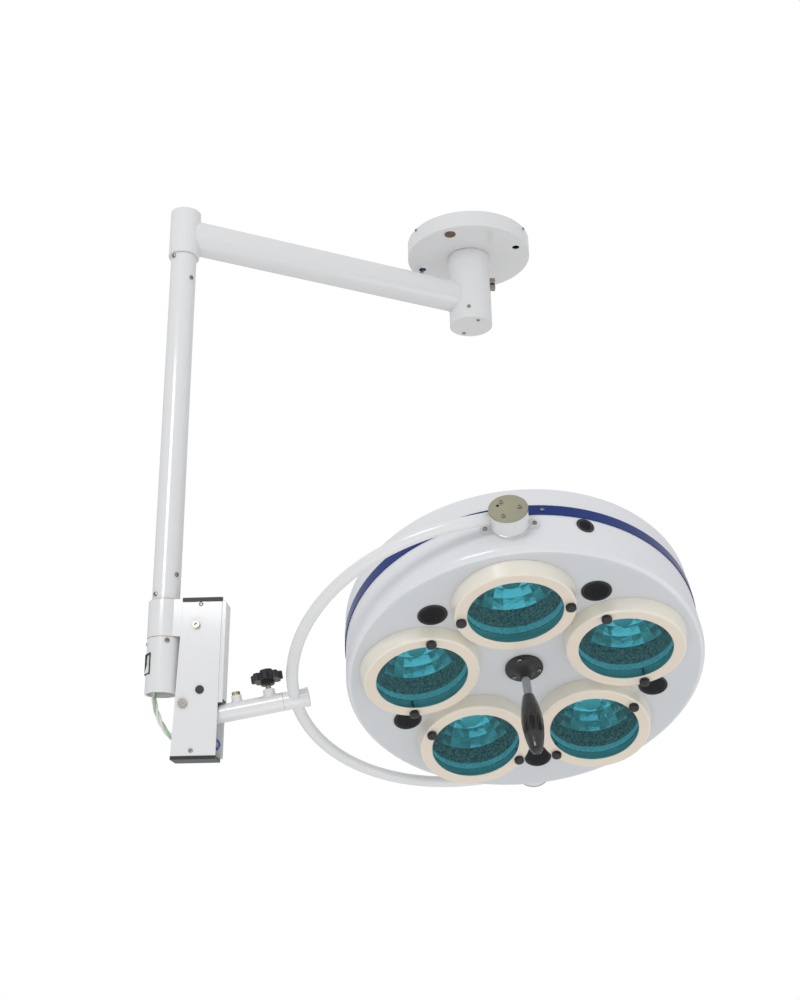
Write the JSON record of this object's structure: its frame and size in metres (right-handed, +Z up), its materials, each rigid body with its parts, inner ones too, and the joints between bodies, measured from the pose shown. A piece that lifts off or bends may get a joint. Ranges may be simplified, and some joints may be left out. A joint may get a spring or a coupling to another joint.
{
  "type": "ceiling operating light",
  "caption": "Ceiling-mounted dental operating light: swing arm, drop tube, spring-balanced arm and a round dished lamp head in a tubular yoke, each on its own joint.",
  "frame": {"origin": "centre of the ceiling face, on the axis that the whole light swings about", "axes": "+Z up, into the ceiling; the swing arm lies along -X at rest; the lamp head hangs on the -Y side"},
  "size_m": [0.9101, 0.7258, 1.211],
  "materials": {
    "arm_paint": "gloss",
    "head_paint": "gloss",
    "ring_paint": "gloss",
    "pivot_paint": "satin",
    "steel": "satin",
    "bearing_steel": "polished",
    "zinc": "satin",
    "spring_steel": "satin",
    "bronze": "satin",
    "brass": "satin",
    "black_plastic": "satin",
    "white_plastic": "gloss",
    "cream_plastic": "matte",
    "brown_plastic": "matte",
    "blue_insulation": "satin",
    "brown_insulation": "satin",
    "green_insulation": "satin",
    "cable_sheath": "satin",
    "khaki_metal": "satin",
    "band_blue": "gloss",
    "teal_glass": "polished",
    "can_grey": "matte",
    "mirror": "polished",
    "holder_metal": "satin",
    "bulb_glass": "polished",
    "flange_black": "satin",
    "rod_steel": "satin",
    "grip_black": "gloss"
  },
  "bodies": {
    "ceiling_mount": {"ceiling_plate": "steel", "ceiling_cover": "arm_paint", "spindle_nut": "zinc", "cover_plug": "brown_plastic", "cover_screws": "zinc", "lead_blue": "blue_insulation", "lead_brown": "brown_insulation", "lead_green": "green_insulation"},
    "swing_arm": {"hub_sleeve": "arm_paint", "hub_bearings": "bearing_steel", "hub_cap": "arm_paint", "arm_screws": "zinc", "swing_tube": "arm_paint", "elbow_collar": "arm_paint", "elbow_spigot": "steel", "drop_tube": "arm_paint", "hinge_shaft": "steel", "switch_housing": "arm_paint", "switch_frame": "black_plastic", "lamp_cable": "cable_sheath"},
    "switch_rocker": {"rocker": "white_plastic"},
    "balance_box": {"box_shell": "arm_paint", "side_cover": "arm_paint", "knee_collar": "arm_paint", "hinge_bushes": "bronze", "end_caps": "black_plastic", "box_screws": "zinc", "pivot_pin": "zinc", "anchor_bolt": "zinc", "balance_springs": "spring_steel", "access_plug": "black_plastic", "terminal_block": "cream_plastic"},
    "spring_arm": {"arm_bracket": "steel", "arm_tube": "arm_paint", "spring_pin": "zinc", "retaining_screw": "brass"},
    "lock_knob": {"star_knob": "black_plastic", "knob_stud": "zinc"},
    "yoke": {"yoke_spigot": "steel", "swivel_sleeve": "arm_paint", "yoke_tube": "arm_paint", "pivot_housings": "pivot_paint", "pivot_caps": "khaki_metal", "cap_screws": "zinc"},
    "lamp_head": {"front_shell": "head_paint", "back_shell": "head_paint", "trim_band": "band_blue", "lamp_rings": "ring_paint", "filter_glasses": "teal_glass", "lamp_cans": "can_grey", "reflectors": "mirror", "bulb_holders": "holder_metal", "lamp_bulbs": "bulb_glass", "ring_knobs": "black_plastic", "vents": "black_plastic", "pivot_flanges": "pivot_paint", "head_fasteners": "zinc", "handle_flange": "flange_black", "handle_rod": "rod_steel", "handle_grip": "grip_black"}
  },
  "joints": [
    {"name": "hub_swing", "type": "hinge", "parent": "ceiling_mount", "child": "swing_arm", "pos_m": [0, 0, 0], "axis": [0, 0, 1], "range_deg": [-165, 165]},
    {"name": "box_swivel", "type": "hinge", "parent": "swing_arm", "child": "balance_box", "pos_m": [-0.649, 0, -0.902], "axis": [0, 0, 1], "range_deg": [-110, 120], "deforming": ["lamp_cable"]},
    {"name": "switch_rock", "type": "hinge", "parent": "swing_arm", "child": "switch_rocker", "pos_m": [-0.67084, -0.00268, -1.019], "axis": [0.1219, -0.9925, 0], "range_deg": [0, 12]},
    {"name": "arm_pitch", "type": "hinge", "parent": "balance_box", "child": "spring_arm", "pos_m": [-0.61054, -0.02011, -1.0907], "axis": [-0.4633, -0.8862, 0], "range_deg": [-36, 3], "deforming": ["balance_springs"]},
    {"name": "knob_turn", "type": "hinge", "parent": "spring_arm", "child": "lock_knob", "pos_m": [-0.47731, -0.08976, -1.09126], "axis": [-0.1524, 0.0797, 0.9851], "continuous": true},
    {"name": "yoke_roll", "type": "hinge", "parent": "spring_arm", "child": "yoke", "pos_m": [-0.08751, -0.29354, -1.01449], "axis": [0.873, -0.4564, 0.1719], "range_deg": [-150, 150]},
    {"name": "head_tilt", "type": "hinge", "parent": "yoke", "child": "lamp_head", "pos_m": [-0.08751, -0.29354, -1.01449], "axis": [-0.4792, -0.7373, 0.4761], "range_deg": [-100, 100]}
  ]
}
